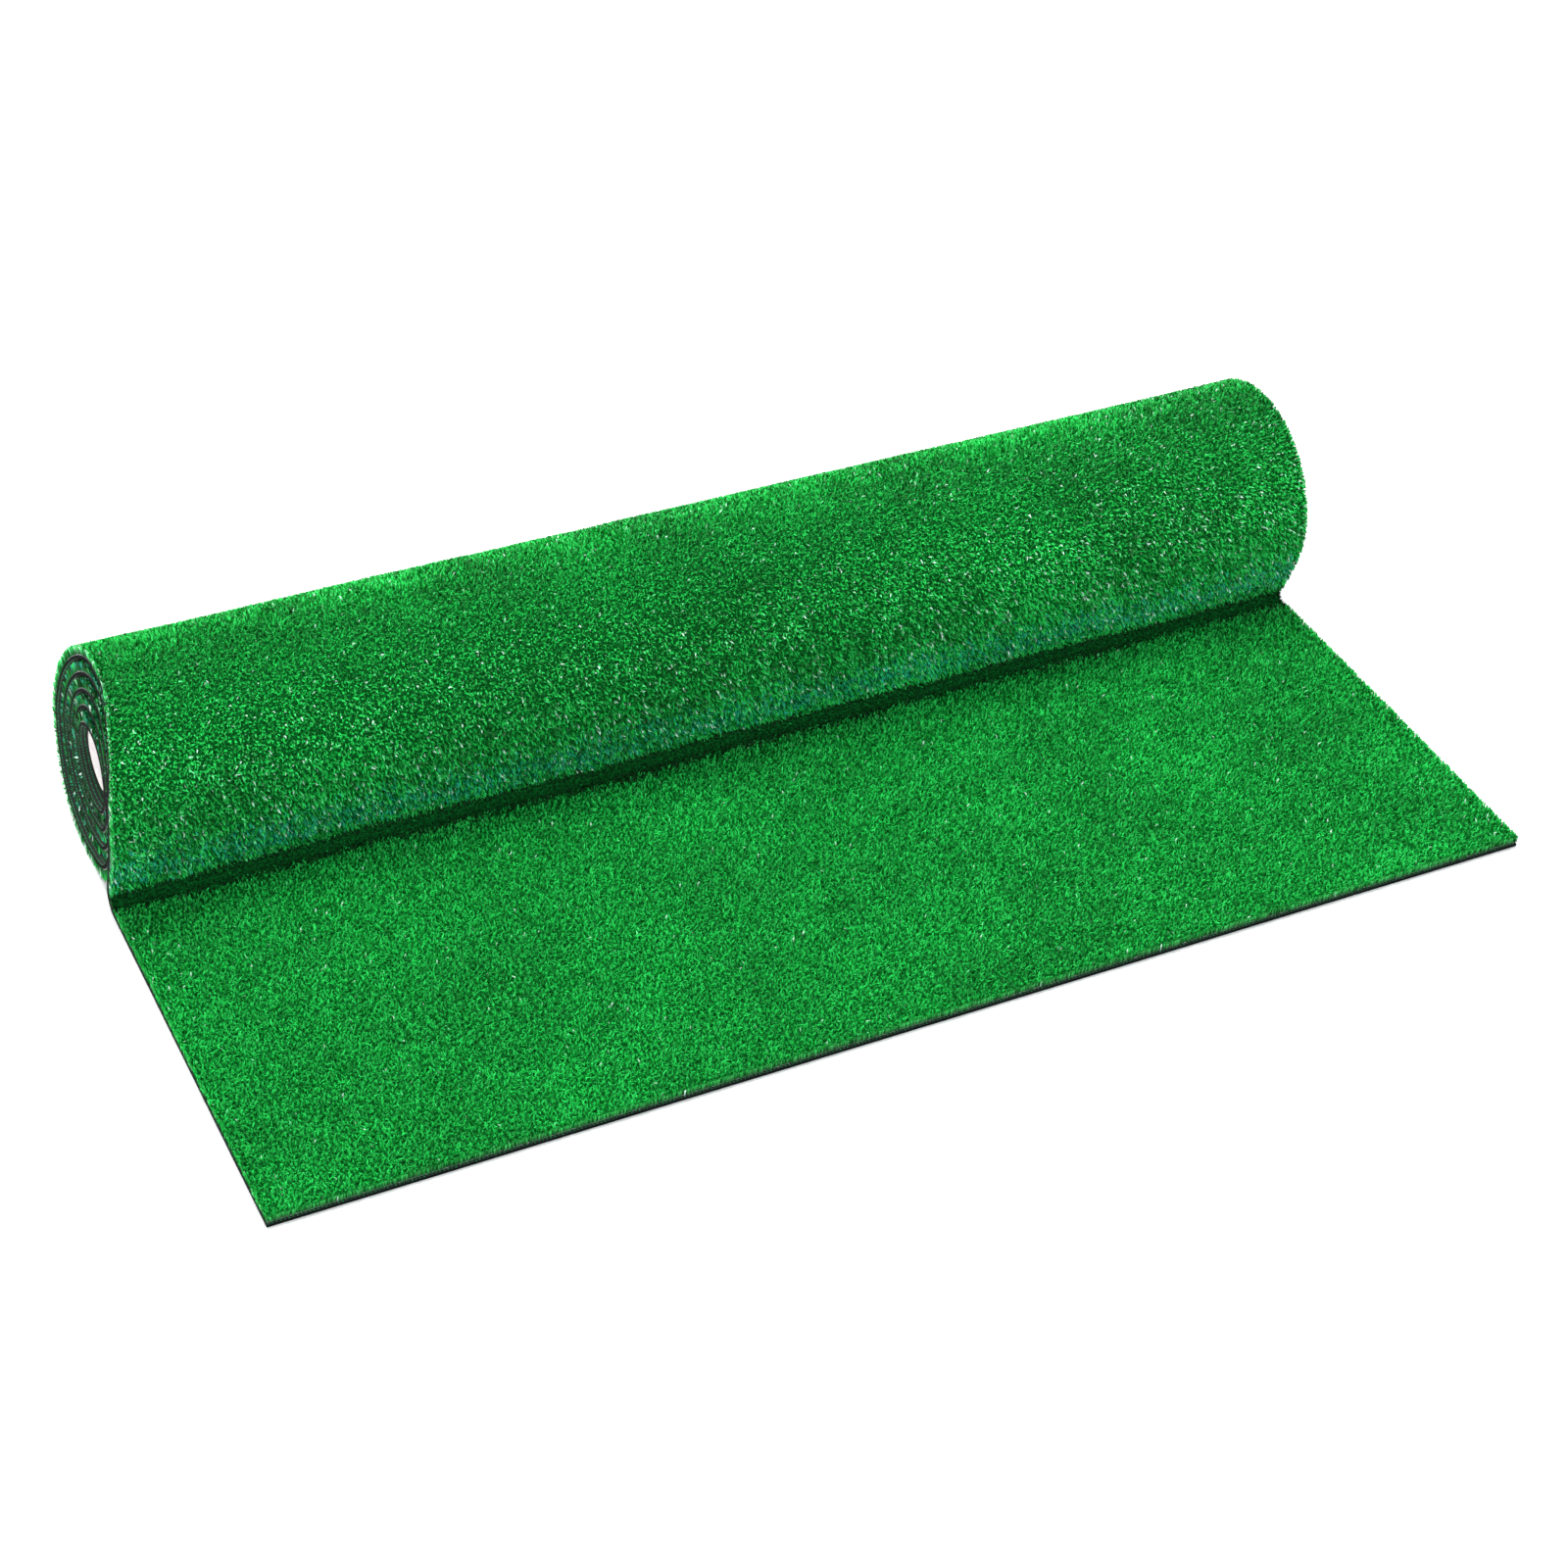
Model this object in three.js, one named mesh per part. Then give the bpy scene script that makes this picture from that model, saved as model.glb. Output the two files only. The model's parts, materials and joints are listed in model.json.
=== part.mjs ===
// Practice putting mat: 3 ft x 6 ft short-pile turf, wound pile-out on a
// hollow card core, with its loose end laid out flat on the floor.
//
// Millimetres. +Z up, the roll lies along X, the loose end runs out to -Y.
// The wound part and the fold at its foot are one body. The loose end is cut
// across into strips, so that it can bend: each strip hinges on the one
// before it, on an axis along X in the middle of the latex backing.
import * as THREE from 'three';

// ---- driving dimensions -------------------------------------------------
const MAT_WIDTH = 914;        // along X, 3 ft
const SHEET = 10;             // pile tips to underside
const LATEX_T = 2.2;          // secondary backing
const PRIMARY_Z = [2.5, 3.1]; // woven primary backing, heights above underside
const PILE_Z0 = 3.4;          // foot of the pile

const ROLL_BASE_R = 74.5;     // roll centre above the floor = outer radius there
const PITCH = 10.8;            // radial growth for each full turn
const START_TURN_DEG = -1540; // inner edge of the sheet
const CORE_OUT_R = 22.8;
const CORE_IN_R = 20.2;
const TELESCOPE = 12;         // how far the inner turns sit towards +X
const TELESCOPE_R = [24, 64]; // from full shift to none, by radius
// how far the left edges of the outer turns sit in, by angle from the top
const SKEW = [[-180, 0], [-135, 3], [-90, 8], [-45, 17], [-15, 21], [15, 20], [45, 11], [75, 2], [95, 0], [180, 0]];

const HANG_DEG = 108;         // where the sheet leaves the roll and hangs straight
const FOLD_R = 3;             // pile-side radius of the fold at the foot
const FIRST_HINGE_Y = -82;    // from the roll centre
const FREE_EDGE_Y = -370;
const STRIPS = 7;
const HINGE_Z = 1.1;
const FIRST_BEND_DEG = 48;    // largest bend of the first hinge
const BEND_DEG = 24;          // largest bend of the others
const HINGE_GAP = 0.9;

const FOLD_PART_DEG = 26;     // the last of the turn, whose backing goes with the fold
const PART_GAP_DEG = 0.4;

const FINE_STEP = 8;          // degrees per facet on the outer turns
const COARSE_STEP = 12;       // and near the core

// ---- materials ----------------------------------------------------------
const pileMaterial = () => new THREE.MeshStandardMaterial({ color: 0x148a32, roughness: 0.85, metalness: 0 });
const primaryMaterial = () => new THREE.MeshStandardMaterial({ color: 0xd9d2c6, roughness: 0.9, metalness: 0 });
const latexMaterial = () => new THREE.MeshStandardMaterial({ color: 0x15181a, roughness: 0.75, metalness: 0 });
const cardMaterial = () => new THREE.MeshStandardMaterial({ color: 0xf3ece8, roughness: 0.8, metalness: 0 });

// ---- the wound path, as points of the underside with pile-side normals ---
const rad = (deg) => deg * Math.PI / 180;
const outerRadius = (deg) => ROLL_BASE_R + PITCH * (deg + 180) / 360;

// The sheet leaves the roll in a straight line and meets the fold at the foot,
// an arc round a point on the pile side, tangent to the line and to the floor.
function foldArc() {
  const n = [-Math.sin(rad(HANG_DEG)), Math.cos(rad(HANG_DEG))];
  const leave = turnPoint(HANG_DEG);
  const rOut = FOLD_R + SHEET;
  const z = rOut - rOut * n[1];
  const t = (leave.z - z) / Math.sin(rad(HANG_DEG));
  const y = leave.y - Math.cos(rad(HANG_DEG)) * t;
  return { y: y + rOut * n[0], z: rOut };
}

function turnPoint(a) {
  const r = outerRadius(a) - SHEET;
  const n = [-Math.sin(rad(a)), Math.cos(rad(a))];
  return { y: r * n[0], z: ROLL_BASE_R + r * n[1], n };
}

function turnPoints(from, to) {
  const path = [];
  let a = from;
  while (a < to - 0.5 * FINE_STEP) {
    path.push(turnPoint(a));
    a += outerRadius(a) < 50 ? COARSE_STEP : FINE_STEP;
  }
  return path;
}

function foldPoints() {
  const path = [];
  const fold = foldArc();
  // the fold turns from the hanging sheet's normal back to straight up
  const rOut = FOLD_R + SHEET;
  const steps = 9;
  for (let i = 0; i <= steps; i++) {
    const b = rad(HANG_DEG) * (1 - i / steps);
    const n = [-Math.sin(b), Math.cos(b)];
    path.push({ y: fold.y - rOut * n[0], z: fold.z - rOut * n[1], n });
  }
  return path;
}

// A layer of the sheet between two heights above the underside. The ends of
// the layer are cut square, or on the bevel that a hinge needs.
const bevel = (z, bend) => HINGE_GAP / 2 + Math.max(0, z - HINGE_Z) * Math.tan(rad(bend / 2 + 1));

function skewAt(deg) {
  const i = SKEW.findIndex(([a]) => a >= deg);
  if (i <= 0) return SKEW[0][1];
  const [[a0, s0], [a1, s1]] = [SKEW[i - 1], SKEW[i]];
  return s0 + (s1 - s0) * (deg - a0) / (a1 - a0);
}

function extrudeAlongX(points, width) {
  const shape = new THREE.Shape(points.map(([y, z]) => new THREE.Vector2(y, z)));
  const geometry = new THREE.ExtrudeGeometry(shape, { depth: width, bevelEnabled: false, steps: 1 });
  geometry.translate(0, 0, -width / 2);
  const basis = new THREE.Matrix4().makeBasis(
    new THREE.Vector3(0, 1, 0), new THREE.Vector3(0, 0, 1), new THREE.Vector3(1, 0, 0));
  geometry.applyMatrix4(basis);
  return geometry;
}

// which: the whole wound layer, its turns alone, or the fold at the foot
function woundLayer(z0, z1, which = 'whole') {
  const end = HANG_DEG;
  const cut = end - FOLD_PART_DEG;
  let path;
  if (which === 'turns') {
    path = turnPoints(START_TURN_DEG, cut);
    path.push(turnPoint(cut));
  } else if (which === 'fold') {
    path = turnPoints(cut + PART_GAP_DEG, end).concat([turnPoint(end)], foldPoints());
  } else {
    path = turnPoints(START_TURN_DEG, end).concat([turnPoint(end)], foldPoints());
  }
  const low = path.map((p) => [p.y + p.n[0] * z0, p.z + p.n[1] * z0]);
  const high = path.map((p) => [p.y + p.n[0] * z1, p.z + p.n[1] * z1]);
  if (which !== 'turns') {
    low.push([FIRST_HINGE_Y + bevel(z0, FIRST_BEND_DEG), z0]);
    if (z0 < HINGE_Z && z1 > HINGE_Z) low.push([FIRST_HINGE_Y + bevel(HINGE_Z, FIRST_BEND_DEG), HINGE_Z]);
    high.push([FIRST_HINGE_Y + bevel(z1, FIRST_BEND_DEG), z1]);
  }
  const geometry = extrudeAlongX(low.concat(high.reverse()), MAT_WIDTH);
  // the turns near the core sit further along the roll, and the left edges of
  // the outer turns sit further in over the top
  const pos = geometry.attributes.position;
  const [r0, r1] = TELESCOPE_R;
  for (let i = 0; i < pos.count; i++) {
    const r = Math.hypot(pos.getY(i), pos.getZ(i) - ROLL_BASE_R);
    const k = Math.min(1, Math.max(0, (r1 - r) / (r1 - r0)));
    let x = pos.getX(i) + TELESCOPE * k;
    if (pos.getX(i) < 0) {
      const deg = Math.atan2(-pos.getY(i), pos.getZ(i) - ROLL_BASE_R) * 180 / Math.PI;
      x += skewAt(deg) * (1 - k);
    }
    pos.setX(i, x);
  }
  geometry.computeVertexNormals();
  return geometry;
}

function stripLayer(index, z0, z1) {
  const length = (FIRST_HINGE_Y - FREE_EDGE_Y) / STRIPS;
  const near = FIRST_HINGE_Y - index * length;
  const far = near - length;
  const nearBend = index === 0 ? FIRST_BEND_DEG : BEND_DEG;
  const last = index === STRIPS - 1;
  const a = (z) => near - bevel(z, nearBend);
  const b = (z) => (last ? far : far + bevel(z, BEND_DEG));
  const points = [[b(z0), z0], [a(z0), z0]];
  const crosses = z0 < HINGE_Z && z1 > HINGE_Z;
  if (crosses) points.push([a(HINGE_Z), HINGE_Z]);
  points.push([a(z1), z1], [b(z1), z1]);
  if (crosses && !last) points.push([b(HINGE_Z), HINGE_Z]);
  return extrudeAlongX(points, MAT_WIDTH);
}

function coreTube() {
  const ring = new THREE.Shape();
  ring.absarc(0, ROLL_BASE_R, CORE_OUT_R, 0, Math.PI * 2, false);
  const hole = new THREE.Path();
  hole.absarc(0, ROLL_BASE_R, CORE_IN_R, 0, Math.PI * 2, true);
  ring.holes.push(hole);
  const geometry = new THREE.ExtrudeGeometry(ring, { depth: MAT_WIDTH, bevelEnabled: false, steps: 1, curveSegments: 32 });
  geometry.translate(0, 0, -MAT_WIDTH / 2 + TELESCOPE);
  const basis = new THREE.Matrix4().makeBasis(
    new THREE.Vector3(0, 1, 0), new THREE.Vector3(0, 0, 1), new THREE.Vector3(1, 0, 0));
  geometry.applyMatrix4(basis);
  return geometry;
}

// ---- assembly -----------------------------------------------------------
const group = new THREE.Group();
function add(name, geometry, material) {
  const mesh = new THREE.Mesh(geometry, material);
  mesh.name = name;
  group.add(mesh);
  return mesh;
}

add('roll_pile', woundLayer(PILE_Z0, SHEET), pileMaterial());
add('roll_primary_backing', woundLayer(...PRIMARY_Z), primaryMaterial());
add('roll_latex_backing', woundLayer(0, LATEX_T, 'turns'), latexMaterial());
add('fold_latex_backing', woundLayer(0, LATEX_T, 'fold'), latexMaterial());
add('core_tube', coreTube(), cardMaterial());
for (let i = 0; i < STRIPS; i++) {
  add(`strip_${i + 1}_pile`, stripLayer(i, PILE_Z0, SHEET), pileMaterial());
  add(`strip_${i + 1}_primary_backing`, stripLayer(i, ...PRIMARY_Z), primaryMaterial());
  add(`strip_${i + 1}_latex_backing`, stripLayer(i, 0, LATEX_T), latexMaterial());
}

// Origin: middle of the footprint of the whole object, on the floor.
const backY = outerRadius(-90);
group.position.set(-TELESCOPE / 2, -(FREE_EDGE_Y + backY) / 2, 0);

export default group;
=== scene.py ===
import json
import math

import bpy
import numpy as np
from mathutils import Matrix, Vector


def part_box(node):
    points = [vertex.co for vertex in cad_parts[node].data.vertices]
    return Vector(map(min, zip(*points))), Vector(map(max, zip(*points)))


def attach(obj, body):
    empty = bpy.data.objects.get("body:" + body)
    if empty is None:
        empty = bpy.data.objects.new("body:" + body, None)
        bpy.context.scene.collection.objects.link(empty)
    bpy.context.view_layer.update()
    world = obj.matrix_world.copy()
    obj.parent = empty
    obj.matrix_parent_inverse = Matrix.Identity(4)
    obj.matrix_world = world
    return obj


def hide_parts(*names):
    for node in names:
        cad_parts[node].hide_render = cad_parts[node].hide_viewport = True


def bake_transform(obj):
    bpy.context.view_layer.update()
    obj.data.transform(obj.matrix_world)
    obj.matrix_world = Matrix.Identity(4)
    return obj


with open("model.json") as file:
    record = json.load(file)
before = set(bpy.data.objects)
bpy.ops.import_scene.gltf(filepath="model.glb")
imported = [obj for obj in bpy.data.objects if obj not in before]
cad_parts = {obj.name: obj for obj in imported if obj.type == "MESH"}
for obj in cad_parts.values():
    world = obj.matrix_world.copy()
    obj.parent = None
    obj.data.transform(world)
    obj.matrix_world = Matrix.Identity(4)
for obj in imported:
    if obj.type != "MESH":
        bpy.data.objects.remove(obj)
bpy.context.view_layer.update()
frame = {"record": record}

MM = 0.001

# ------------------------------------------------------------------ the frame
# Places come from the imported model; the section's numbers are the sheet's own.
joints = {j["name"]: j for j in frame["record"]["behaviour"]["joints"]}
HINGE_Y = [joints[f"loose_end_curl_{k}"]["pos_m"][1] for k in range(1, 8)]
strip_lo, strip_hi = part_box("strip_4_pile")
X0, X1 = strip_lo[0], strip_hi[0]
core_lo, core_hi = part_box("core_tube")
CY, CZ = (core_lo[1] + core_hi[1]) / 2, (core_lo[2] + core_hi[2]) / 2
FREE_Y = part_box("strip_7_pile")[0][1]
STEP_Y = HINGE_Y[0] - HINGE_Y[1]

SHEET = 10.0 * MM
BASE_R = CZ
PITCH = 10.8 * MM
START_DEG = -1540.0
FOLD_R = 3.0 * MM
HANG_DEG = 108.0
# how far each turn sits along +X, counted inwards from the foot
_tt = np.linspace(0, 4.6, 93)
_tm = np.interp(_tt, [0, 0.12, 1.1, 2.1, 3.2, 4.6], [0, 0, 4.6, 7.0, 9.6, 12.0])
TELE_TURNS = _tt
TELE_MM = np.convolve(np.pad(_tm, 3, mode="edge"), np.ones(7) / 7, mode="valid")
TELE_MM[0] = 0.0
# the left edges of the outer turns sit further in over the top
SKEW_DEG = [-180, -135, -90, -45, -15, 15, 45, 75, 95, 180]
SKEW_MM = [0, 3, 8, 17, 21, 20, 11, 2, 0, 0]
LATEX_H = (0.0, 2.0 * MM)
PRIMARY_H = (2.25 * MM, 2.7 * MM)
THATCH_H = (3.0 * MM, 5.6 * MM)
ROOT_H = 3.2 * MM


def outer_radius(deg):
    return BASE_R + PITCH * (deg + 180) / 360


# The underside's path from the inner edge to the free edge: the turns, the
# straight part that hangs from the roll, the fold at the foot, the flat end.
# Each point has the angle of the pile-side normal, (-sin, cos) of it in (y, z).
_hang = math.radians(HANG_DEG)
_n = (-math.sin(_hang), math.cos(_hang))
_rf = FOLD_R + SHEET
_r0 = outer_radius(HANG_DEG) - SHEET
_ly, _lz = CY + _r0 * _n[0], CZ + _r0 * _n[1]
_len = (_lz - (_rf - _rf * _n[1])) / math.sin(_hang)
FOLD_Z = _rf
FOLD_Y = _ly - math.cos(_hang) * _len + _rf * _n[0]

_a = np.append(np.arange(START_DEG, HANG_DEG, 1.0), HANG_DEG)
_r = outer_radius(_a) - SHEET
_y = CY - _r * np.sin(np.radians(_a))
_z = CZ + _r * np.cos(np.radians(_a))
_line = np.linspace(0, _len, 41)[1:]
_hy = _ly - math.cos(_hang) * _line
_hz = _lz - math.sin(_hang) * _line
_fold = np.linspace(HANG_DEG, 0, 97)[1:]
_fy = FOLD_Y + _rf * np.sin(np.radians(_fold))
_fz = FOLD_Z - _rf * np.cos(np.radians(_fold))
_flat_y = np.linspace(FOLD_Y, FREE_Y, 320)[1:]
PATH_Y = np.concatenate([_y, _hy, _fy, _flat_y])
PATH_Z = np.concatenate([_z, _hz, _fz, np.zeros_like(_flat_y)])
PATH_T = np.concatenate([_a, np.full(len(_hy), HANG_DEG), _fold, np.zeros_like(_flat_y)])
_t = np.radians(PATH_T)
_my, _mz = PATH_Y - 3 * MM * np.sin(_t), PATH_Z + 3 * MM * np.cos(_t)
PATH_S = np.concatenate([[0], np.cumsum(np.hypot(np.diff(_my), np.diff(_mz)))])
S_END = PATH_S[-1]
S_ROLL = PATH_S[len(_a) - 1]                          # where it leaves the roll
S_HANG = PATH_S[len(_a) + len(_hy) - 1]               # where the fold starts
S_FLAT = PATH_S[len(_a) + len(_hy) + len(_fold) - 1]  # where the sheet lies flat
DEG_OF_S = np.concatenate([_a, np.full(len(PATH_S) - len(_a), HANG_DEG)])
print("sheet length", round(S_END, 4), "leaves the roll at", round(S_ROLL, 4), "flat from", round(S_FLAT, 4))


def s_at_deg(deg):
    return float(np.interp(deg, _a, PATH_S[: len(_a)]))


def s_at_y(y):
    """The flat sheet's distance along, at this Y."""
    return S_FLAT + (FOLD_Y - y)


def smooth01(t):
    t = np.clip(t, 0, 1)
    return t * t * (3 - 2 * t)


_wave = np.random.default_rng(11)
_waves = [(_wave.uniform(0.6, 1.4), _wave.uniform(0, 6.28), _wave.uniform(0, 6.28)) for _ in range(12)]


def soft_noise(u, v, scale):
    """Smooth noise in -1..1 from a few sines; u and v in metres."""
    out = 0.0
    for i, (k, p, q) in enumerate(_waves):
        ang = i * 2.399
        out = out + np.sin((u * math.cos(ang) + v * math.sin(ang)) * scale * k * (1 + 0.22 * i) + p) * np.cos(
            (v * math.cos(ang) - u * math.sin(ang)) * scale * 0.7 * k + q)
    return out / 4.2


def place(x, s, h):
    """World place of a point of the sheet: x across, s along, h above the underside."""
    y = np.interp(s, PATH_S, PATH_Y)
    z = np.interp(s, PATH_S, PATH_Z)
    t = np.radians(np.interp(s, PATH_S, PATH_T))
    deg = np.interp(s, PATH_S, DEG_OF_S)
    turns = (HANG_DEG - deg) / 360
    wound = np.clip((S_HANG - s) / 0.03, 0, 1)
    tele = np.interp(turns, TELE_TURNS, TELE_MM) * MM
    tele = tele + 0.5 * MM * np.sin(deg * 0.021 + 1.0) * smooth01((turns - 0.15) / 0.4) * np.clip((4.2 - turns), 0, 1)
    skew = np.interp((deg + 180) % 360 - 180, SKEW_DEG, SKEW_MM) * MM * np.clip(1 - turns / 4.5, 0, 1)
    tele = tele + skew * (X1 - x) / (X1 - X0)
    outer = smooth01((1.05 - turns) / 0.15) * wound
    floor_near = smooth01(np.abs(((deg + 180 + 180) % 360) - 180) / 50)
    bulge = 0.55 * MM * soft_noise(x, s * 0.8, 9.0) * outer * floor_near
    bulge = bulge + 0.25 * MM * soft_noise(x + 3.1, s, 38.0) * outer * floor_near
    h = h + bulge
    y = y - h * np.sin(t)
    z = z + h * np.cos(t)
    # the roll sags: its inner turns fill out low down, at the back and in front
    ry, rz = y - CY, z - CZ
    rho = np.hypot(ry, rz)
    phi = np.degrees(np.arctan2(-ry, rz))
    sag = np.where(phi < 0, np.exp(-(((phi + 140) / 23) ** 2)), np.exp(-(((phi - 148) / 17) ** 2)))
    sag = sag * 6.0 * MM * np.clip(rho / 0.074, 0, 1.1) ** 2 * smooth01((turns - 0.1) / 0.15)
    y = y - sag * np.sin(np.radians(phi))
    z = z + sag * np.cos(np.radians(phi))
    # the nip at the foot wanders a little along the roll
    near = np.exp(-(((y - FOLD_Y) / (13 * MM)) ** 2 + ((z - 14 * MM) / (14 * MM)) ** 2))
    near = near * smooth01((turns * 0 + s - s_at_deg(60)) / 0.02)
    y = y + near * (1.5 * MM * soft_noise(x, 0.0, 11.0) + 0.7 * MM * soft_noise(x + 5.0, 0.3, 37.0))
    z = z + near * 0.5 * MM * soft_noise(x + 1.7, 0.9, 17.0)
    # the laid-out end is not dead flat
    lay = smooth01((s - s_at_y(HINGE_Y[0])) / 0.06)
    z = z + lay * 0.35 * MM * (1 + soft_noise(x, s, 7.0)) * 0.8
    return np.stack([x + tele, y, np.maximum(z, 0.05 * MM)], -1)


# ------------------------------------------------------------------- meshes
def make_mesh(name, verts, corner, starts, uv_name, uv, materials, slots=None, smooth=None):
    me = bpy.data.meshes.new(name)
    me.vertices.add(len(verts))
    me.vertices.foreach_set("co", np.asarray(verts, np.float32).ravel())
    me.loops.add(len(corner))
    me.loops.foreach_set("vertex_index", np.asarray(corner, np.int32))
    me.polygons.add(len(starts))
    me.polygons.foreach_set("loop_start", np.asarray(starts, np.int32))
    if slots is not None:
        me.polygons.foreach_set("material_index", np.asarray(slots, np.int32))
    if smooth is not None:
        me.polygons.foreach_set("use_smooth", np.asarray(smooth, bool))
    layer = me.uv_layers.new(name=uv_name)
    layer.data.foreach_set("uv", np.asarray(uv, np.float32).ravel())
    for m in materials:
        me.materials.append(m)
    me.update(calc_edges=True)
    me.validate()
    ob = bpy.data.objects.new(name, me)
    bpy.context.scene.collection.objects.link(ob)
    return ob


def slab(name, s_list, h0, h1, nx, materials, smooth_angle=40, wobble=0.0, x_in=0.0):
    """A closed layer of the sheet between two heights, over the stations s_list."""
    s_list = np.asarray(s_list, float)
    xs = np.linspace(X0 + x_in, X1 - x_in, nx + 1)
    ns = len(s_list)
    S, X = np.meshgrid(s_list, xs, indexing="ij")
    low = place(X.ravel(), S.ravel(), np.full(S.size, h0))
    top_h = np.full(S.size, h1)
    if wobble:
        top_h = top_h + wobble * soft_noise(X.ravel(), S.ravel(), 210.0)
    high = place(X.ravel(), S.ravel(), top_h)
    verts = np.concatenate([low, high])
    n = ns * (nx + 1)
    i, j = np.meshgrid(np.arange(ns - 1), np.arange(nx), indexing="ij")
    a = (i * (nx + 1) + j).ravel()
    b, c, d = a + 1, a + nx + 2, a + nx + 1
    faces = [np.stack([a, b, c, d], 1), np.stack([a + n, d + n, c + n, b + n], 1)]
    i = np.arange(ns - 1)
    a, b = i * (nx + 1), (i + 1) * (nx + 1)
    faces.append(np.stack([a, b, b + n, a + n], 1))
    a, b = a + nx, b + nx
    faces.append(np.stack([a, a + n, b + n, b], 1))
    j = np.arange(nx)
    faces.append(np.stack([j, j + n, j + 1 + n, j + 1], 1))
    k = (ns - 1) * (nx + 1) + j
    faces.append(np.stack([k, k + 1, k + 1 + n, k + n], 1))
    quads = np.concatenate(faces)
    flat = quads.ravel()
    # pattern coordinates in metres: across, and along with the height folded in
    u = np.concatenate([X.ravel(), X.ravel()])
    v = np.concatenate([S.ravel(), S.ravel() + 0.0])
    hh = np.concatenate([np.full(n, h0), np.full(n, h1)])
    uv = np.stack([u + hh, v + hh], 1)[flat]
    main = 2 * (ns - 1) * nx
    smooth = np.zeros(len(quads), bool)
    smooth[:main] = True
    slots = np.where(smooth, 0, len(materials) - 1)
    return make_mesh(name, verts, flat, np.arange(len(quads)) * 4, "Sheet", uv, materials, slots=slots, smooth=smooth)


def blades(name, patches, seed, materials, tall=1.0):
    """Short pile: flat tapered blades standing on the primary backing. patches are
    (x0, x1, s0, s1, pitch, per_tuft, edge) rectangles of the sheet, in metres."""
    rng = np.random.default_rng(seed)
    roots_x, roots_s, pitches = [], [], []
    for x0, x1, s0, s1, pitch, per, edge in patches:
        nx = max(1, int(round((x1 - x0) / pitch)))
        ns = max(1, int(round((s1 - s0) / pitch)))
        gx = x0 + (np.arange(nx) + 0.5) * (x1 - x0) / nx
        gs = s0 + (np.arange(ns) + 0.5) * (s1 - s0) / ns
        S, X = np.meshgrid(gs, gx, indexing="ij")
        X = X.ravel() + rng.uniform(-0.42, 0.42, X.size) * pitch
        S = S.ravel() + rng.uniform(-0.42, 0.42, S.size) * pitch
        for _ in range(per):
            roots_x.append(X + rng.normal(0, 0.28 * MM, X.size))
            roots_s.append(S + rng.normal(0, 0.28 * MM, S.size))
            pitches.append(np.full(X.size, 1.0))
    x, s = np.concatenate(roots_x), np.concatenate(roots_s)
    wide = np.concatenate(pitches)
    x = np.clip(x, X0 + 0.2 * MM, X1 - 0.2 * MM)
    s = np.clip(s, 0.3 * MM, S_END - 0.2 * MM)
    n = len(x)
    az = rng.uniform(0, 2 * math.pi, n)
    # a slight nap towards the free end
    lean = rng.gamma(3.2, 0.36, n) * MM + 0.5 * MM
    nap = 0.25 * MM
    high = rng.normal(6.15, 0.27, n) * MM * tall
    high = np.clip(high - 0.10 * lean, 4.6 * MM, 7.0 * MM)
    width = rng.uniform(0.90, 1.50, n) * MM * wide
    # the fold presses its pile down
    fold = smooth01((s - (S_HANG - 0.008)) / 0.010) * smooth01((S_FLAT + 0.008 - s) / 0.010)
    high = high * (1 - 0.22 * fold)
    lean = lean * (1 - 0.45 * fold)
    # at a cut edge the blades splay outwards
    out_x = np.where(x < X0 + 2.2 * MM, -1.0, np.where(x > X1 - 2.2 * MM, 1.0, 0.0))
    lx = np.cos(az) * lean
    ls = np.sin(az) * lean + nap
    lx = np.where(out_x != 0, out_x * np.abs(lx) * 0.55, lx)
    ls = np.where(s > S_END - 2.2 * MM, np.abs(ls) * 0.7, ls)
    side = az + math.pi / 2 + rng.normal(0, 0.45, n)
    wx, ws = np.cos(side) * width / 2, np.sin(side) * width / 2
    curl = rng.normal(0, 0.35, n) * MM
    cx, cs = -np.sin(az) * curl, np.cos(az) * curl
    P = np.empty((n, 5, 3))
    k = 0.80
    mx, ms, mh = x + lx * 0.22 + cx, s + ls * 0.22 + cs, ROOT_H + high * k
    P[:, 0] = place(x - wx * 0.7, s - ws * 0.7, np.full(n, ROOT_H))
    P[:, 1] = place(x + wx * 0.7, s + ws * 0.7, np.full(n, ROOT_H))
    P[:, 2] = place(mx + wx, ms + ws, mh)
    P[:, 3] = place(mx - wx, ms - ws, mh)
    P[:, 4] = place(x + lx, s + ls, ROOT_H + high)
    base = np.arange(n)[:, None] * 5
    corner = (base + np.array([0, 1, 2, 3, 3, 2, 4])).ravel()
    starts = (np.arange(n)[:, None] * 7 + np.array([0, 4])).ravel()
    # palette coordinates: across by the blade's own tone, up by its height
    deg = np.interp(s, PATH_S, DEG_OF_S) + np.degrees(np.clip(s - S_ROLL, 0, S_HANG - S_ROLL) / 0.083)
    on_roll = smooth01((S_HANG - s) / 0.02)
    outer = smooth01((deg - (HANG_DEG - 360)) / 6)
    tone = rng.beta(1.15, 1.15, n)
    drift = (0.10 + 0.08 * on_roll) * soft_noise(x, s, 16.0) + 0.09 * soft_noise(x + 9, s, 60.0)
    spread = 0.66 + 0.34 * on_roll
    tone = 0.07 + 0.55 * np.clip(0.5 + (tone - 0.5) * spread + drift, 0.0, 1.0)
    pick = rng.uniform(0, 1, n)
    # painted reflection of the cool fill: on the lower front of the roll up to 45% of the blades take the teal tones
    low = smooth01((deg - 92) / 30) * on_roll * outer
    painted_teal_reflection = pick < 0.45 * low
    tone = np.where(painted_teal_reflection, 0.66 + 0.20 * (tone - 0.07) / 0.55, tone)
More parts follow.
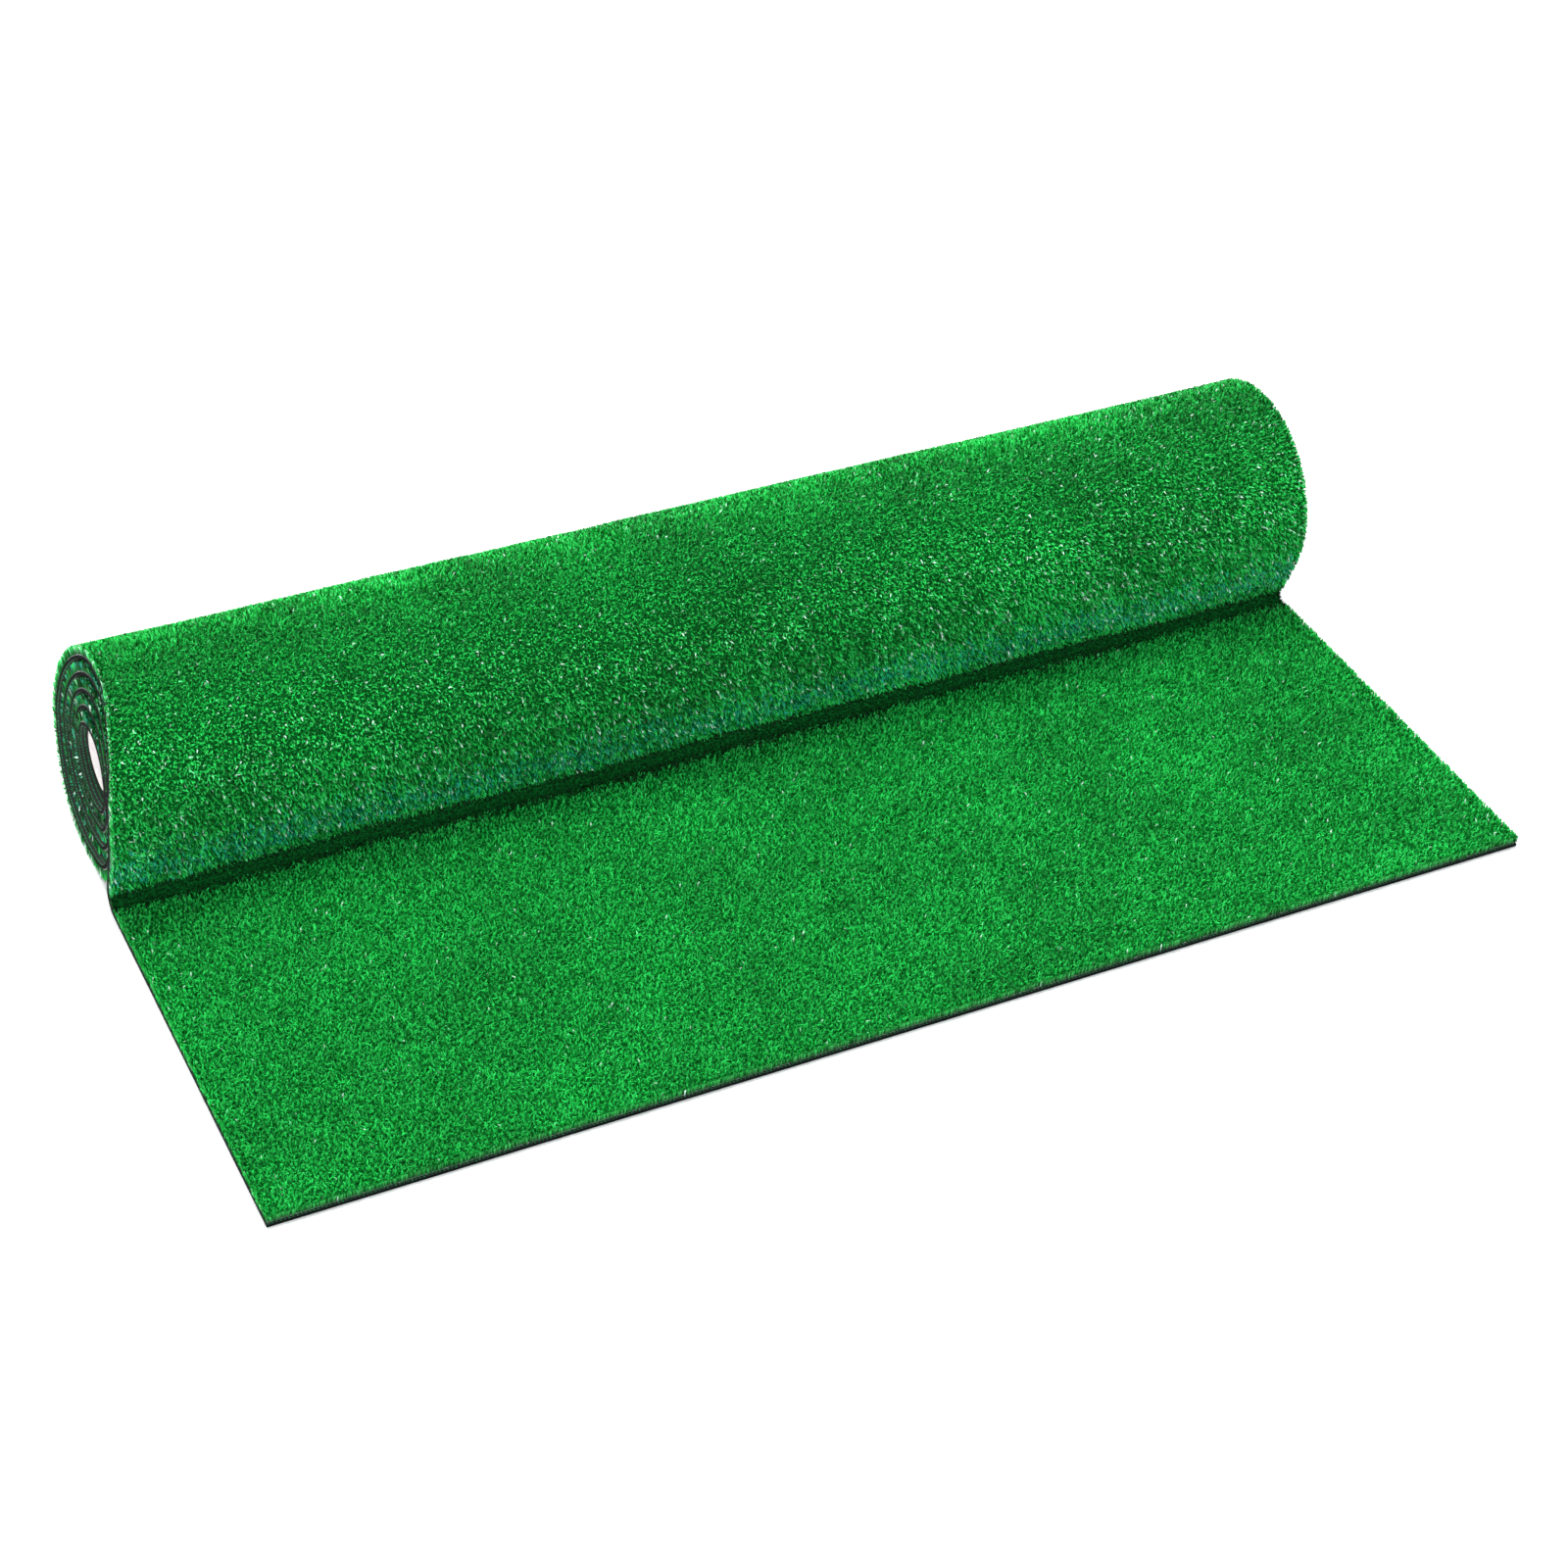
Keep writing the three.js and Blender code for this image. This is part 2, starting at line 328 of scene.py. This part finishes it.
    # painted shade: over the top and upper front of the roll the pile's own tones are darkened by up to 30%
    painted_shade_upper_roll = on_roll * outer * smooth01((deg + 14) / 22) * (1 - 0.75 * smooth01((deg - 35) / 45))
    tone = np.where(tone < 0.65, 0.064 + (tone - 0.064) * (1 - 0.30 * painted_shade_upper_roll), tone)
    # painted shade between the inner turns: about half the blades take near-black tones, some take teal tones
    # (painted reflection) and a few whitish ones (painted highlights)
    painted_shade_inner_turns = (1 - outer) * on_roll
    pick = rng.uniform(0, 1, n)
    tone = np.where(pick < 0.52 * painted_shade_inner_turns, 0.052 * rng.beta(1.1, 1.5, n), tone)
    tone = np.where((pick > 0.52) & (pick < 0.82) & (painted_shade_inner_turns > 0.5), rng.uniform(0.66, 0.80, n), tone)
    tone = np.where((pick > 0.95) & (painted_shade_inner_turns > 0.5), rng.uniform(0.95, 0.985, n), tone)
    # painted glints: a share of the blades take the bright green and whitish tones, standing in for specular sparkle,
    # more over the lower front and right end of the roll, and a third of the blades along its left cut edge as a
    # painted highlight
    pick = rng.uniform(0, 1, n)
    right_end = smooth01((x - 0.05) / 0.4)
    painted_glint = 0.007 + on_roll * outer * (0.010 + 0.060 * smooth01((deg - 25) / 60) + 0.026 * right_end)
    near_edge = (x < X0 + 2.0 * MM) & (s < S_HANG)
    painted_glint = np.where(near_edge & (outer > 0.5), 0.34, painted_glint)
    tone = np.where(pick < painted_glint, rng.uniform(0.895, 0.925, n), tone)
    tone = np.where(pick < painted_glint * 0.45, rng.uniform(0.95, 0.975, n), tone)
    # painted shade in the nip at the foot, where the pile is also pressed down: most blades there take near-black
    # tones
    waver = 2.2 * MM * soft_noise(x, 0.4, 14.0) + 1.2 * MM * soft_noise(x + 2.0, 0.1, 45.0)
    swell = 1 + 0.35 * soft_noise(x + 7.0, 0.2, 9.0)
    painted_nip_shade = smooth01((s - (S_HANG - 0.007)) / 0.009) * smooth01((S_FLAT + 8.0 * MM * swell + waver - s) / (12.0 * MM))
    pick = rng.uniform(0, 1, n)
    shade = 0.052 * rng.beta(1.0, 2.2, n)
    tone = np.where(pick < 0.95 * painted_nip_shade ** 0.8, shade, tone)
    # painted shade: in the last 2 mm at the free edge the tones below 0.9 are darkened by half
    tone = np.where((s > S_END - 2.0 * MM) & (tone < 0.9), 0.064 + (tone - 0.064) * 0.5, tone)
    tone[: 2] = [0.0, 0.975]
    du = 0.012
    uvb = np.zeros((n, 7, 2))
    left, right, mid = tone, tone + du, tone + du / 2
    uvb[:, 0] = np.stack([left, np.full(n, 0.01)], 1)
    uvb[:, 1] = np.stack([right, np.full(n, 0.01)], 1)
    uvb[:, 2] = np.stack([right, np.full(n, k)], 1)
    uvb[:, 3] = np.stack([left, np.full(n, k)], 1)
    uvb[:, 4] = uvb[:, 3]
    uvb[:, 5] = uvb[:, 2]
    uvb[:, 6] = np.stack([mid, np.full(n, 0.99)], 1)
    return make_mesh(name, P.reshape(-1, 3), corner, starts, "OFBake", uvb.reshape(-1, 2), materials)


# ---------------------------------------------------------------- materials
def new_material(name):
    m = bpy.data.materials.new(name)
    m.use_nodes = True
    nt = m.node_tree
    nt.nodes.clear()
    out = nt.nodes.new("ShaderNodeOutputMaterial")
    bsdf = nt.nodes.new("ShaderNodeBsdfPrincipled")
    nt.links.new(bsdf.outputs["BSDF"], out.inputs["Surface"])
    return m, nt, bsdf


def ramp(nt, stops, interpolation="LINEAR"):
    node = nt.nodes.new("ShaderNodeValToRGB")
    node.color_ramp.interpolation = interpolation
    el = node.color_ramp.elements
    while len(el) > 1:
        el.remove(el[-1])
    el[0].position, el[0].color = stops[0][0], (*stops[0][1], 1)
    for pos, col in stops[1:]:
        e = el.new(pos)
        e.color = (*col, 1)
    return node


def mix(nt, kind, fac, a, b):
    node = nt.nodes.new("ShaderNodeMix")
    node.data_type = "RGBA"
    node.blend_type = kind
    for sock, val in ((node.inputs["Factor"], fac), (node.inputs["A"], a), (node.inputs["B"], b)):
        if isinstance(val, bpy.types.NodeSocket):
            nt.links.new(val, sock)
        elif isinstance(val, (int, float)):
            sock.default_value = val
        else:
            sock.default_value = (*val, 1)
    return node.outputs["Result"]


def math_node(nt, op, a, b=None):
    node = nt.nodes.new("ShaderNodeMath")
    node.operation = op
    for sock, val in zip(node.inputs, (a, b)):
        if val is None:
            continue
        if isinstance(val, bpy.types.NodeSocket):
            nt.links.new(val, sock)
        else:
            sock.default_value = val
    return node.outputs[0]


def uv_map(nt, name, scale=(1, 1, 1)):
    uv = nt.nodes.new("ShaderNodeUVMap")
    uv.uv_map = name
    mp = nt.nodes.new("ShaderNodeMapping")
    mp.inputs["Scale"].default_value = scale
    nt.links.new(uv.outputs["UV"], mp.inputs["Vector"])
    return mp.outputs["Vector"]


def noise(nt, vec, scale, detail=3, rough=0.55):
    node = nt.nodes.new("ShaderNodeTexNoise")
    node.inputs["Scale"].default_value = scale
    node.inputs["Detail"].default_value = detail
    node.inputs["Roughness"].default_value = rough
    nt.links.new(vec, node.inputs["Vector"])
    return node.outputs["Fac"]


def bump(nt, bsdf, height, strength, distance):
    node = nt.nodes.new("ShaderNodeBump")
    node.inputs["Strength"].default_value = strength
    node.inputs["Distance"].default_value = distance
    nt.links.new(height, node.inputs["Height"])
    nt.links.new(node.outputs["Normal"], bsdf.inputs["Normal"])


def pile_material():
    m, nt, bsdf = new_material("turf_pile")
    vec = uv_map(nt, "OFBake")
    sep = nt.nodes.new("ShaderNodeSeparateXYZ")
    nt.links.new(vec, sep.inputs[0])
    # palette along u: 0 to 0.052 near-black, painted shade for the nip and between the turns; 0.064 to 0.64 the
    # pile's own greens; 0.655 to 0.88 teal, painted reflection of the cool fill; 0.89 to 0.938 bright green and 0.948
    # to 1 whitish, painted glints
    tone = ramp(nt, [
        (0.000, (0.001, 0.010, 0.002)),
        (0.052, (0.002, 0.140, 0.018)),
        (0.064, (0.003, 0.110, 0.014)),
        (0.200, (0.005, 0.300, 0.038)),
        (0.420, (0.010, 0.590, 0.085)),
        (0.640, (0.026, 0.860, 0.150)),
        (0.655, (0.004, 0.240, 0.120)),
        (0.880, (0.014, 0.600, 0.330)),
        (0.890, (0.080, 0.860, 0.240)),
        (0.938, (0.180, 0.920, 0.360)),
        (0.948, (0.560, 0.940, 0.700)),
        (1.000, (0.760, 0.960, 0.860)),
    ])
    nt.links.new(sep.outputs["X"], tone.inputs["Fac"])
    # darker towards the root: painted shade down inside the pile
    root_shade = ramp(nt, [(0.0, (0.16,) * 3), (0.35, (0.50,) * 3), (0.70, (0.95,) * 3), (1.0, (1.0,) * 3)])
    nt.links.new(sep.outputs["Y"], root_shade.inputs["Fac"])
    nt.links.new(mix(nt, "MULTIPLY", 1.0, tone.outputs["Color"], root_shade.outputs["Color"]), bsdf.inputs["Base Color"])
    rough = ramp(nt, [(0.0, (0.70,) * 3), (0.62, (0.50,) * 3), (0.88, (0.46,) * 3), (1.0, (0.30,) * 3)])
    nt.links.new(sep.outputs["X"], rough.inputs["Fac"])
    nt.links.new(rough.outputs["Color"], bsdf.inputs["Roughness"])
    bsdf.inputs["Specular IOR Level"].default_value = 0.32
    return m


def thatch_material():
    m, nt, bsdf = new_material("turf_thatch")
    vec = uv_map(nt, "Sheet")
    fine = noise(nt, vec, 900, 3, 0.6)
    col = ramp(nt, [(0.30, (0.0005, 0.045, 0.007)), (0.55, (0.002, 0.140, 0.020)), (0.78, (0.005, 0.260, 0.036))])
    nt.links.new(fine, col.inputs["Fac"])
    nt.links.new(col.outputs["Color"], bsdf.inputs["Base Color"])
    bsdf.inputs["Roughness"].default_value = 0.9
    bsdf.inputs["Specular IOR Level"].default_value = 0.1
    bump(nt, bsdf, noise(nt, vec, 620, 2, 0.6), 0.8, 0.8 * MM)
    return m


def woven(nt, vec, warp, weft):
    """Height of a plain weave: warp and weft threads per metre."""
    sep = nt.nodes.new("ShaderNodeSeparateXYZ")
    nt.links.new(vec, sep.inputs[0])
    a = math_node(nt, "SINE", math_node(nt, "MULTIPLY", sep.outputs["X"], warp * math.pi))
    b = math_node(nt, "SINE", math_node(nt, "MULTIPLY", sep.outputs["Y"], weft * math.pi))
    return math_node(nt, "MULTIPLY", a, b)


def primary_material():
    m, nt, bsdf = new_material("primary_backing_weave")
    vec = uv_map(nt, "Sheet")
    w = woven(nt, vec, 900, 600)
    n = noise(nt, vec, 240, 3)
    col = ramp(nt, [(0.25, (0.56, 0.50, 0.47)), (0.75, (0.80, 0.74, 0.71))])
    nt.links.new(n, col.inputs["Fac"])
    shade = ramp(nt, [(0.0, (0.72, 0.70, 0.70)), (1.0, (1, 1, 1))])
    nt.links.new(math_node(nt, "MULTIPLY_ADD", w, 0.5), shade.inputs["Fac"])
    shade.inputs["Fac"].links[0].from_node.inputs[2].default_value = 0.5
    nt.links.new(mix(nt, "MULTIPLY", 1.0, col.outputs["Color"], shade.outputs["Color"]), bsdf.inputs["Base Color"])
    bsdf.inputs["Roughness"].default_value = 0.85
    bsdf.inputs["Specular IOR Level"].default_value = 0.25
    bump(nt, bsdf, w, 0.5, 0.2 * MM)
    return m


def primary_edge_material():
    """The cut edge of the weave, with green fibre caught in it; mostly painted shade, much darker than the weave
    itself, where it sits between the turns.
    """
    m, nt, bsdf = new_material("primary_cut_edge")
    vec = uv_map(nt, "Sheet")
    col = ramp(nt, [(0.35, (0.020, 0.100, 0.055)), (0.52, (0.140, 0.170, 0.150)), (0.70, (0.620, 0.540, 0.560))])
    nt.links.new(noise(nt, vec, 260, 3, 0.6), col.inputs["Fac"])
    nt.links.new(col.outputs["Color"], bsdf.inputs["Base Color"])
    bsdf.inputs["Roughness"].default_value = 0.9
    return m


def latex_material():
    """Black latex coat; here and there the back of a green tuft shows through, in rows."""
    m, nt, bsdf = new_material("latex_backing")
    vec = uv_map(nt, "Sheet")
    w = woven(nt, vec, 500, 400)
    n = noise(nt, vec, 160, 4, 0.6)
    col = ramp(nt, [(0.3, (0.005, 0.006, 0.007)), (0.7, (0.016, 0.018, 0.018))])
    nt.links.new(n, col.inputs["Fac"])
    dust = ramp(nt, [(0.62, (0, 0, 0)), (0.80, (0.025, 0.026, 0.024))])
    nt.links.new(noise(nt, vec, 26, 5, 0.7), dust.inputs["Fac"])
    base = mix(nt, "ADD", 1.0, col.outputs["Color"], dust.outputs["Color"])
    # tuft backs: one row every 2.6 mm across, a stitch every 2.1 mm along
    sep = nt.nodes.new("ShaderNodeSeparateXYZ")
    nt.links.new(vec, sep.inputs[0])
    row = math_node(nt, "SINE", math_node(nt, "MULTIPLY", sep.outputs["X"], 2 * math.pi / (2.6 * MM)))
    stitch = math_node(nt, "SINE", math_node(nt, "MULTIPLY", sep.outputs["Y"], 2 * math.pi / (2.1 * MM)))
    tuft = math_node(nt, "ADD", math_node(nt, "MULTIPLY", row, 0.34), math_node(nt, "MULTIPLY", stitch, 0.18))
    tuft = math_node(nt, "ADD", tuft, noise(nt, vec, 420, 2, 0.6))
    show = ramp(nt, [(0.66, (0, 0, 0)), (0.84, (1, 1, 1))])
    nt.links.new(tuft, show.inputs["Fac"])
    green = ramp(nt, [(0.35, (0.003, 0.060, 0.016)), (0.52, (0.006, 0.150, 0.038)), (0.68, (0.020, 0.300, 0.090))])
    nt.links.new(noise(nt, vec, 700, 2, 0.6), green.inputs["Fac"])
    nt.links.new(mix(nt, "MIX", show.outputs["Color"], base, green.outputs["Color"]), bsdf.inputs["Base Color"])
    rough = ramp(nt, [(0.3, (0.62,) * 3), (0.7, (0.84,) * 3)])
    nt.links.new(n, rough.inputs["Fac"])
    nt.links.new(rough.outputs["Color"], bsdf.inputs["Roughness"])
    bsdf.inputs["Specular IOR Level"].default_value = 0.3
    height = math_node(nt, "ADD", math_node(nt, "ADD", w, math_node(nt, "MULTIPLY", n, 1.4)), tuft)
    bump(nt, bsdf, height, 0.6, 0.35 * MM)
    return m


def latex_edge_material():
    """The cut edge of the latex: plain black, a little crumbly."""
    m, nt, bsdf = new_material("latex_cut_edge")
    vec = uv_map(nt, "Sheet")
    n = noise(nt, vec, 900, 3, 0.6)
    col = ramp(nt, [(0.3, (0.001, 0.002, 0.0015)), (0.75, (0.006, 0.008, 0.007))])
    nt.links.new(n, col.inputs["Fac"])
    nt.links.new(col.outputs["Color"], bsdf.inputs["Base Color"])
    bsdf.inputs["Roughness"].default_value = 0.95
    bsdf.inputs["Specular IOR Level"].default_value = 0.05
    bump(nt, bsdf, n, 0.5, 0.2 * MM)
    return m


def card_material(name, tint):
    m, nt, bsdf = new_material(name)
    vec = uv_map(nt, "Sheet")
    sep = nt.nodes.new("ShaderNodeSeparateXYZ")
    nt.links.new(vec, sep.inputs[0])
    # helical joint of the winding: u is the turn, v the distance along in metres
    turn = math_node(nt, "FRACT", math_node(nt, "ADD", sep.outputs["X"], math_node(nt, "MULTIPLY", sep.outputs["Y"], 10.5)))
    seam = ramp(nt, [(0.0, (0.55, 0.50, 0.48)), (0.012, (1, 1, 1)), (0.985, (1, 1, 1)), (1.0, (0.55, 0.50, 0.48))])
    nt.links.new(turn, seam.inputs["Fac"])
    fibre_vec = uv_map(nt, "Sheet", (1, 8, 1))
    fibre = noise(nt, fibre_vec, 60, 4, 0.65)
    col = ramp(nt, [(0.30, (0.80, 0.745, 0.735)), (0.50, (0.88, 0.845, 0.835)), (0.75, (0.94, 0.925, 0.915))])
    nt.links.new(fibre, col.inputs["Fac"])
    blush = ramp(nt, [(0.50, (1, 1, 1)), (0.72, (1.0, 0.86, 0.88))])
    nt.links.new(noise(nt, vec, 5.0, 2), blush.inputs["Fac"])
    c = mix(nt, "MULTIPLY", 1.0, col.outputs["Color"], seam.outputs["Color"])
    c = mix(nt, "MULTIPLY", 1.0, c, blush.outputs["Color"])
    c = mix(nt, "MULTIPLY", 1.0, c, tint)
    nt.links.new(c, bsdf.inputs["Base Color"])
    bsdf.inputs["Roughness"].default_value = 0.72
    bsdf.inputs["Specular IOR Level"].default_value = 0.3
    bump(nt, bsdf, math_node(nt, "ADD", math_node(nt, "MULTIPLY", fibre, 0.4), seam.outputs["Color"]), 0.5, 0.25 * MM)
    return m


def card_end_material():
    m, nt, bsdf = new_material("card_cut_end")
    vec = uv_map(nt, "Sheet")
    sep = nt.nodes.new("ShaderNodeSeparateXYZ")
    nt.links.new(vec, sep.inputs[0])
    plies = math_node(nt, "SINE", math_node(nt, "MULTIPLY", sep.outputs["Y"], 2 * math.pi / (0.42 * MM)))
    col = ramp(nt, [(0.0, (0.56, 0.50, 0.46)), (0.5, (0.80, 0.75, 0.71)), (1.0, (0.88, 0.85, 0.82))])
    nt.links.new(math_node(nt, "ADD", math_node(nt, "MULTIPLY", plies, 0.35), noise(nt, vec, 130, 4)), col.inputs["Fac"])
    nt.links.new(col.outputs["Color"], bsdf.inputs["Base Color"])
    bsdf.inputs["Roughness"].default_value = 0.85
    bump(nt, bsdf, plies, 0.5, 0.12 * MM)
    return m


PILE, THATCH = pile_material(), thatch_material()
PRIMARY, PRIMARY_EDGE = primary_material(), primary_edge_material()
LATEX, LATEX_EDGE = latex_material(), latex_edge_material()
# painted light: the bore is the card at full white and the outer wall the same card at 0.54, so the bore still reads
# white in the shade inside the roll
CARD, CARD_END = card_material("card_bore_painted_bright", (1.0, 1.0, 1.0)), card_end_material()
CARD_OUT = card_material("white_card_outer_wall", (0.54, 0.54, 0.55))


# ------------------------------------------------------------ the wound roll
PIECE_CUT = [s_at_y(HINGE_Y[0] + 9.4 * MM)]
for k in range(6):
    PIECE_CUT.append(s_at_y((HINGE_Y[k] + HINGE_Y[k + 1]) / 2))
PIECE_CUT.append(S_END)

roll_s = list(np.interp(np.arange(START_DEG, HANG_DEG - 362, 4.0), _a, PATH_S[: len(_a)]))
roll_s += list(np.interp(np.arange(HANG_DEG - 360, HANG_DEG, 2.0), _a, PATH_S[: len(_a)]))
roll_s += list(np.linspace(S_ROLL, S_HANG, 13))[:-1] + list(np.linspace(S_HANG, S_FLAT, 26))
if PIECE_CUT[0] > S_FLAT + 0.4 * MM:
    roll_s.append(PIECE_CUT[0])
NX_ROLL = 60

roll_latex = slab("roll_latex_backing_sheet", roll_s, *LATEX_H, NX_ROLL, [LATEX, LATEX_EDGE])
roll_primary = slab("roll_primary_backing_weave", roll_s, *PRIMARY_H, NX_ROLL, [PRIMARY, PRIMARY_EDGE], x_in=0.7 * MM)
roll_thatch = slab("roll_pile_thatch", roll_s, *THATCH_H, NX_ROLL, [THATCH], wobble=0.3 * MM, x_in=0.5 * MM)

FINE = 2.05 * MM
S_OUT = s_at_deg(HANG_DEG - 359)
cuts = np.linspace(S_OUT, PIECE_CUT[0], 7)
roll_blades = []
for i in range(6):
    roll_blades.append(blades(f"roll_pile_blades_{i + 1}", [(X0, X1, cuts[i], cuts[i + 1], FINE, 2, False)], 100 + i, [PILE]))
EDGE = 13 * MM
inner_left = blades("roll_pile_inner_turns_left", [(X0, X0 + EDGE, 0.001, S_OUT, 1.75 * MM, 2, True)], 201, [PILE])
inner_right = blades("roll_pile_inner_turns_right", [(X1 - EDGE, X1, 0.001, S_OUT, 1.75 * MM, 2, True)], 202, [PILE])
edge_left = blades("roll_pile_cut_edge_left", [(X0, X0 + 2.0 * MM, S_OUT, PIECE_CUT[0], 1.0 * MM, 1, True)], 203, [PILE])
edge_right = blades("roll_pile_cut_edge_right", [(X1 - 2.0 * MM, X1, S_OUT, PIECE_CUT[0], 1.0 * MM, 1, True)], 204, [PILE])

for ob in [roll_latex, roll_primary, roll_thatch, *roll_blades, inner_left, inner_right, edge_left, edge_right]:
    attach(ob, "wound_roll")
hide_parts("roll_latex_backing", "fold_latex_backing")
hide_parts("roll_primary_backing")
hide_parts("roll_pile")

# ---------------------------------------------------------- the loose end
for k in range(1, 8):
    s0, s1 = PIECE_CUT[k - 1], PIECE_CUT[k]
    st = np.linspace(s0, s1, 23)
    lat = slab(f"loose_end_{k}_latex_backing", st, *LATEX_H, 48, [LATEX, LATEX_EDGE])
    if k == 7:
        st = np.linspace(s0, s1 - 1.6 * MM, 23)
    pri = slab(f"loose_end_{k}_primary_backing", st, *PRIMARY_H, 48, [PRIMARY, PRIMARY_EDGE], x_in=1.2 * MM)
    tha = slab(f"loose_end_{k}_thatch", st, *THATCH_H, 48, [THATCH], wobble=0.3 * MM, x_in=0.9 * MM)
    patches = [(X0, X1, s0, s1, FINE, 2, False),
               (X0, X0 + 2.0 * MM, s0, s1, 1.0 * MM, 1, True),
               (X1 - 2.0 * MM, X1, s0, s1, 1.0 * MM, 1, True)]
    if k == 7:
        patches.append((X0, X1, S_END - 2.0 * MM, S_END, 1.0 * MM, 1, True))
    bla = blades(f"loose_end_{k}_blades", patches, 300 + k, [PILE])
    for ob in (lat, pri, tha, bla):
        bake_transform(ob)
    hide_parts(f"strip_{k}_latex_backing")
    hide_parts(f"strip_{k}_primary_backing")
    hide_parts(f"strip_{k}_pile")

# --------------------------------------------------------------- the core
def card_tube():
    seg = 144
    ro, ri = (core_hi[2] - core_lo[2]) / 2, (core_hi[2] - core_lo[2]) / 2 - 2.6 * MM
    x0, x1 = core_lo[0] + 5 * MM, core_hi[0]
    c = 0.35 * MM
    prof = [(x0 + c, ri), (x0, ri + c), (x0, (ri + ro) / 2), (x0, ro - c), (x0 + c, ro)]
    n_len = 40
    prof += [(x0 + c + (x1 - x0 - 2 * c) * t / n_len, ro) for t in range(1, n_len)]
    prof += [(x1 - c, ro), (x1, ro - c), (x1, (ri + ro) / 2), (x1, ri + c), (x1 - c, ri)]
    prof += [(x1 - c - (x1 - x0 - 2 * c) * t / n_len, ri) for t in range(1, n_len)]
    prof = np.array(prof)
    m = len(prof)
    th = np.linspace(0, 2 * math.pi, seg, endpoint=False)
    oval = 1 + 0.006 * np.cos(2 * th + 0.5)
    verts = np.zeros((seg, m, 3))
    verts[:, :, 0] = prof[:, 0]
    verts[:, :, 1] = CY + prof[None, :, 1] * (oval * np.cos(th))[:, None]
    verts[:, :, 2] = CZ + prof[None, :, 1] * (oval * np.sin(th))[:, None]
    quads, uvs, slots = [], [], []
    end_rows = {0, 1, 2, 3, n_len + 4, n_len + 5, n_len + 6, n_len + 7}
    for i in range(seg):
        i2 = (i + 1) % seg
        for j in range(m):
            j2 = (j + 1) % m
            quads += [i * m + j, i * m + j2, i2 * m + j2, i2 * m + j]
            end = j in end_rows
            va = prof[j][1] if end else prof[j][0]
            vb = prof[j2][1] if end else prof[j2][0]
            uvs += [(i / seg, va), (i / seg, vb), ((i + 1) / seg, vb), ((i + 1) / seg, va)]
            slots.append(1 if end else 2 if j < n_len + 4 else 0)
    return make_mesh("core_tube_card", verts.reshape(-1, 3), quads, np.arange(seg * m) * 4, "Sheet", uvs,
                     [CARD, CARD_END, CARD_OUT], slots=slots, smooth=[s != 1 for s in slots])


tube = card_tube()
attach(tube, "core")
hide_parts("core_tube")

# ------------------------------------------------------------------ studio
floor_me = bpy.data.meshes.new("floor")
floor_me.from_pydata([(-9, -9, 0), (9, -9, 0), (9, 9, 0), (-9, 9, 0)], [], [(0, 1, 2, 3)])
floor = bpy.data.objects.new("floor", floor_me)
bpy.context.scene.collection.objects.link(floor)
fm, fnt, fb = new_material("floor_white")
fb.inputs["Base Color"].default_value = (0.93, 0.93, 0.93, 1)
fb.inputs["Roughness"].default_value = 0.9
fb.inputs["Specular IOR Level"].default_value = 0.1
floor_me.materials.append(fm)

world = bpy.data.worlds.new("studio")
world.use_nodes = True
bg = world.node_tree.nodes["Background"]
bg.inputs["Color"].default_value = (1.0, 1.0, 1.0, 1)
bg.inputs["Strength"].default_value = 0.86
bpy.context.scene.world = world


def area(name, loc, target, size, power, color=(1, 1, 1)):
    light = bpy.data.lights.new(name, "AREA")
    light.shape = "RECTANGLE"
    light.size, light.size_y = size
    light.energy = power
    light.color = color
    ob = bpy.data.objects.new(name, light)
    bpy.context.scene.collection.objects.link(ob)
    ob.location = loc
    ob.rotation_mode = "QUATERNION"
    ob.rotation_quaternion = (Vector(target) - Vector(loc)).to_track_quat("-Z", "Y")
    return ob


area("key_top", (0.15, 0.72, 2.9), (0, 0.05, 0.0), (2.8, 1.3), 126)
area("rim_back", (0.2, 2.9, 1.3), (0, 0.15, 0.10), (2.6, 0.6), 38)
area("fill_front_left", (-2.2, -2.0, 1.8), (0, 0, 0.05), (2.0, 1.6), 12, (0.92, 0.98, 1.0))
area("fill_low_front", (-0.5, -2.6, 0.55), (0, 0.06, 0.06), (2.4, 0.5), 15, (0.55, 0.85, 1.0))
area("fill_end", (-2.6, 0.5, 0.7), (-0.4, 0.14, 0.08), (1.2, 1.0), 9)

# ------------------------------------------------------------------ camera
cam_data = bpy.data.cameras.new("camera")
cam_data.sensor_width = 36
cam_data.lens = 75.2166
cam = bpy.data.objects.new("camera", cam_data)
bpy.context.scene.collection.objects.link(cam)


def aim(loc, az, el, roll):
    a, e, r = (math.radians(v) for v in (az, el, roll))
    f = Vector((math.sin(a) * math.cos(e), math.cos(a) * math.cos(e), -math.sin(e)))
    right = Vector((math.cos(a), -math.sin(a), 0))
    up = right.cross(f)
    r1 = right * math.cos(r) + up * math.sin(r)
    u1 = -right * math.sin(r) + up * math.cos(r)
    m = Matrix((r1, u1, -f)).transposed().to_4x4()
    m.translation = Vector(loc)
    cam.matrix_world = m


aim((-0.84579 - 0.006, -1.67304 + CY, 1.45025), 28.82711, 39.16624, 4.10066)
cam_data.clip_start, cam_data.clip_end = 0.05, 50
bpy.context.scene.camera = cam
bpy.context.scene.view_settings.view_transform = "Standard"
